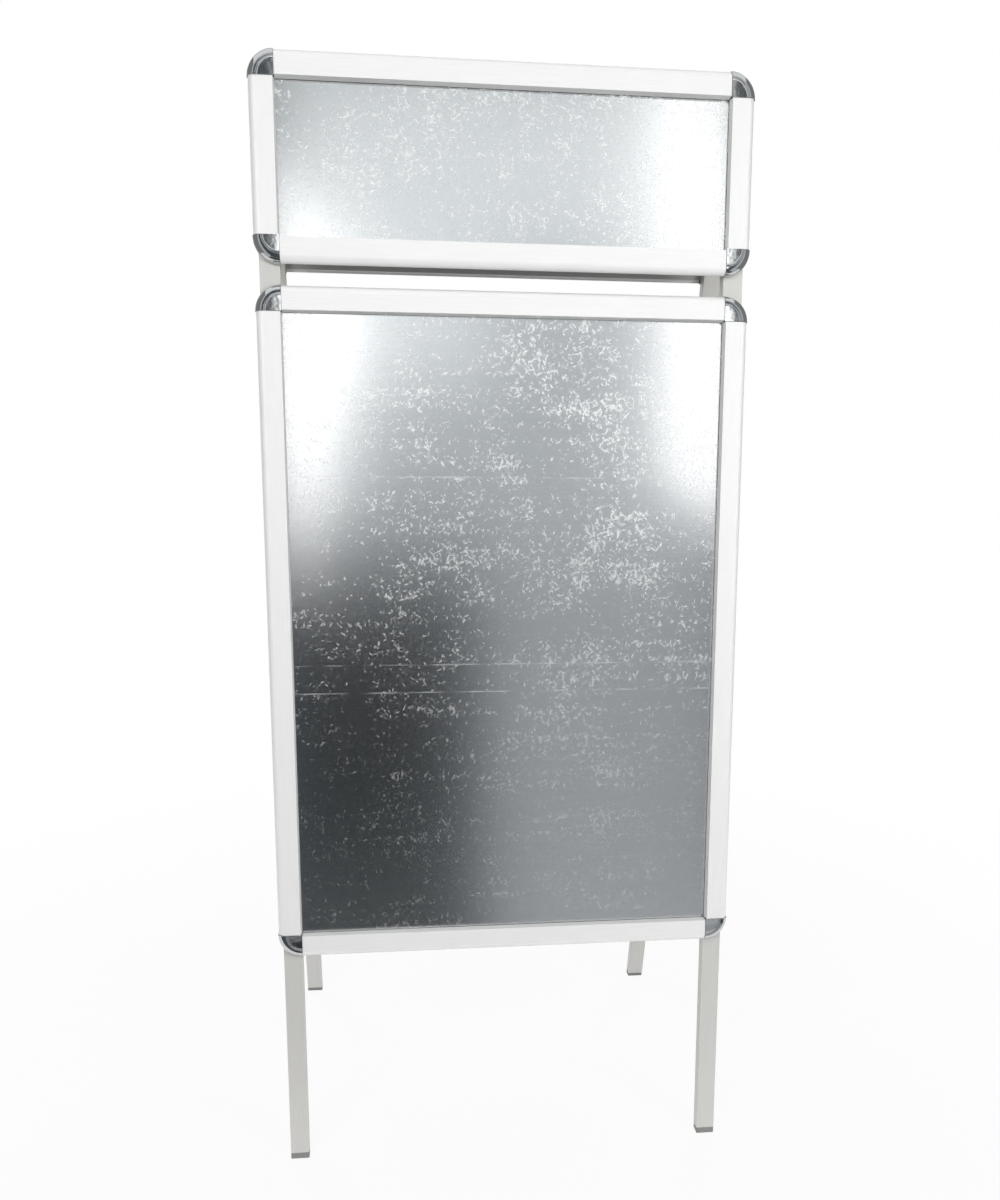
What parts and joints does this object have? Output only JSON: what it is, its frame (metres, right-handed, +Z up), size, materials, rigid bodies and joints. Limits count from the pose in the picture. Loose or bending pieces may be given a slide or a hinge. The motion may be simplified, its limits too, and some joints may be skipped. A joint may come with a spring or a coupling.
{
  "type": "a-frame sign",
  "caption": "Free-standing A-frame sign with a header and a poster snap frame on each side, hinged at the top, on four posts.",
  "frame": {"origin": "on the floor, midway between the four feet, with the sign open", "axes": "+Z up, the front side faces -Y, +X to the right seen from the front"},
  "size_m": [0.6404, 0.4706, 1.4514],
  "materials": {
    "rail": "satin anodised",
    "post": "satin anodised",
    "base_profile": "mill",
    "corner_cap": "polished",
    "steel_sheet": "galvanised, with fine flecks",
    "clear_cover": "clear gloss sheet",
    "spring_steel": "rolled",
    "zinc_steel": "zinc plated",
    "foot": "moulded grey",
    "post_cap": "moulded grey"
  },
  "bodies": {
    "front_side": {"front_left_post": "post", "front_right_post": "post", "front_left_foot": "foot", "front_right_foot": "foot", "front_post_caps": "post_cap", "front_hinge_leaves": "zinc_steel", "hinge_pins": "zinc_steel", "front_stay_rivets": "zinc_steel", "front_frame_rivets": "zinc_steel", "front_header_base": "base_profile", "front_header_corners": "corner_cap", "front_header_panel": "steel_sheet", "front_header_cover": "clear_cover", "front_header_springs": "spring_steel", "front_poster_base": "base_profile", "front_poster_corners": "corner_cap", "front_poster_panel": "steel_sheet", "front_poster_cover": "clear_cover", "front_poster_springs": "spring_steel"},
    "rear_side": {"rear_left_post": "post", "rear_right_post": "post", "rear_left_foot": "foot", "rear_right_foot": "foot", "rear_post_caps": "post_cap", "rear_hinge_leaves": "zinc_steel", "rear_stay_rivets": "zinc_steel", "rear_frame_rivets": "zinc_steel", "rear_header_base": "base_profile", "rear_header_corners": "corner_cap", "rear_header_panel": "steel_sheet", "rear_header_cover": "clear_cover", "rear_header_springs": "spring_steel", "rear_poster_base": "base_profile", "rear_poster_corners": "corner_cap", "rear_poster_panel": "steel_sheet", "rear_poster_cover": "clear_cover", "rear_poster_springs": "spring_steel"},
    "front_left_stay": {"front_left_stay": "zinc_steel"},
    "front_right_stay": {"front_right_stay": "zinc_steel"},
    "rear_left_stay": {"rear_left_stay": "zinc_steel"},
    "rear_right_stay": {"rear_right_stay": "zinc_steel"},
    "front_header_top_rail": {"front_header_top_rail": "rail"},
    "front_header_bottom_rail": {"front_header_bottom_rail": "rail"},
    "front_header_left_rail": {"front_header_left_rail": "rail"},
    "front_header_right_rail": {"front_header_right_rail": "rail"},
    "front_poster_top_rail": {"front_poster_top_rail": "rail"},
    "front_poster_bottom_rail": {"front_poster_bottom_rail": "rail"},
    "front_poster_left_rail": {"front_poster_left_rail": "rail"},
    "front_poster_right_rail": {"front_poster_right_rail": "rail"},
    "rear_header_top_rail": {"rear_header_top_rail": "rail"},
    "rear_header_bottom_rail": {"rear_header_bottom_rail": "rail"},
    "rear_header_left_rail": {"rear_header_left_rail": "rail"},
    "rear_header_right_rail": {"rear_header_right_rail": "rail"},
    "rear_poster_top_rail": {"rear_poster_top_rail": "rail"},
    "rear_poster_bottom_rail": {"rear_poster_bottom_rail": "rail"},
    "rear_poster_left_rail": {"rear_poster_left_rail": "rail"},
    "rear_poster_right_rail": {"rear_poster_right_rail": "rail"}
  },
  "joints": [
    {"name": "fold", "type": "hinge", "parent": "front_side", "child": "rear_side", "pos_m": [0, 0, 1.437], "axis": [-1, 0, 0], "range_deg": [0, 17]},
    {"name": "front_left_stay_turn", "type": "hinge", "parent": "front_side", "child": "front_left_stay", "pos_m": [-0.285, -0.12932, 0.64746], "axis": [1, 0, 0], "range_deg": [0, 76.7]},
    {"name": "front_right_stay_turn", "type": "hinge", "parent": "front_side", "child": "front_right_stay", "pos_m": [0.285, -0.12932, 0.64746], "axis": [1, 0, 0], "range_deg": [0, 76.7]},
    {"name": "rear_left_stay_turn", "type": "hinge", "parent": "rear_side", "child": "rear_left_stay", "pos_m": [-0.285, 0.12932, 0.64746], "axis": [-1, 0, 0], "range_deg": [0, 76.7]},
    {"name": "rear_right_stay_turn", "type": "hinge", "parent": "rear_side", "child": "rear_right_stay", "pos_m": [0.285, 0.12932, 0.64746], "axis": [-1, 0, 0], "range_deg": [0, 76.7]},
    {"name": "front_header_top_rail_snap", "type": "hinge", "parent": "front_side", "child": "front_header_top_rail", "pos_m": [0, -0.02104, 1.44635], "axis": [-1, 0, 0], "range_deg": [0, 75]},
    {"name": "front_header_bottom_rail_snap", "type": "hinge", "parent": "front_side", "child": "front_header_bottom_rail", "pos_m": [0, -0.05666, 1.21083], "axis": [1, 0, 0], "range_deg": [0, 75]},
    {"name": "front_header_left_rail_snap", "type": "hinge", "parent": "front_side", "child": "front_header_left_rail", "pos_m": [-0.3151, -0.03885, 1.32859], "axis": [0, -0.1495, -0.9888], "range_deg": [0, 75]},
    {"name": "front_header_right_rail_snap", "type": "hinge", "parent": "front_side", "child": "front_header_right_rail", "pos_m": [0.3151, -0.03885, 1.32859], "axis": [0, 0.1495, 0.9888], "range_deg": [0, 75]},
    {"name": "front_poster_top_rail_snap", "type": "hinge", "parent": "front_side", "child": "front_poster_top_rail", "pos_m": [0, -0.06171, 1.17741], "axis": [-1, 0, 0], "range_deg": [0, 75]},
    {"name": "front_poster_bottom_rail_snap", "type": "hinge", "parent": "front_side", "child": "front_poster_bottom_rail", "pos_m": [0, -0.19288, 0.31007], "axis": [1, 0, 0], "range_deg": [0, 75]},
    {"name": "front_poster_left_rail_snap", "type": "hinge", "parent": "front_side", "child": "front_poster_left_rail", "pos_m": [-0.3151, -0.1273, 0.74374], "axis": [0, -0.1495, -0.9888], "range_deg": [0, 75]},
    {"name": "front_poster_right_rail_snap", "type": "hinge", "parent": "front_side", "child": "front_poster_right_rail", "pos_m": [0.3151, -0.1273, 0.74374], "axis": [0, 0.1495, 0.9888], "range_deg": [0, 75]},
    {"name": "rear_header_top_rail_snap", "type": "hinge", "parent": "rear_side", "child": "rear_header_top_rail", "pos_m": [0, 0.02104, 1.44635], "axis": [1, 0, 0], "range_deg": [0, 75]},
    {"name": "rear_header_bottom_rail_snap", "type": "hinge", "parent": "rear_side", "child": "rear_header_bottom_rail", "pos_m": [0, 0.05666, 1.21083], "axis": [-1, 0, 0], "range_deg": [0, 75]},
    {"name": "rear_header_left_rail_snap", "type": "hinge", "parent": "rear_side", "child": "rear_header_left_rail", "pos_m": [0.3151, 0.03885, 1.32859], "axis": [0, 0.1495, -0.9888], "range_deg": [0, 75]},
    {"name": "rear_header_right_rail_snap", "type": "hinge", "parent": "rear_side", "child": "rear_header_right_rail", "pos_m": [-0.3151, 0.03885, 1.32859], "axis": [0, -0.1495, 0.9888], "range_deg": [0, 75]},
    {"name": "rear_poster_top_rail_snap", "type": "hinge", "parent": "rear_side", "child": "rear_poster_top_rail", "pos_m": [0, 0.06171, 1.17741], "axis": [1, 0, 0], "range_deg": [0, 75]},
    {"name": "rear_poster_bottom_rail_snap", "type": "hinge", "parent": "rear_side", "child": "rear_poster_bottom_rail", "pos_m": [0, 0.19288, 0.31007], "axis": [-1, 0, 0], "range_deg": [0, 75]},
    {"name": "rear_poster_left_rail_snap", "type": "hinge", "parent": "rear_side", "child": "rear_poster_left_rail", "pos_m": [0.3151, 0.1273, 0.74374], "axis": [0, 0.1495, -0.9888], "range_deg": [0, 75]},
    {"name": "rear_poster_right_rail_snap", "type": "hinge", "parent": "rear_side", "child": "rear_poster_right_rail", "pos_m": [-0.3151, 0.1273, 0.74374], "axis": [0, -0.1495, 0.9888], "range_deg": [0, 75]}
  ],
  "couplings": [
    {"joint": "front_left_stay_turn", "follows": "fold", "ratio": 4.502},
    {"joint": "front_right_stay_turn", "follows": "fold", "ratio": 4.502},
    {"joint": "rear_left_stay_turn", "follows": "fold", "ratio": 4.502},
    {"joint": "rear_right_stay_turn", "follows": "fold", "ratio": 4.502}
  ]
}
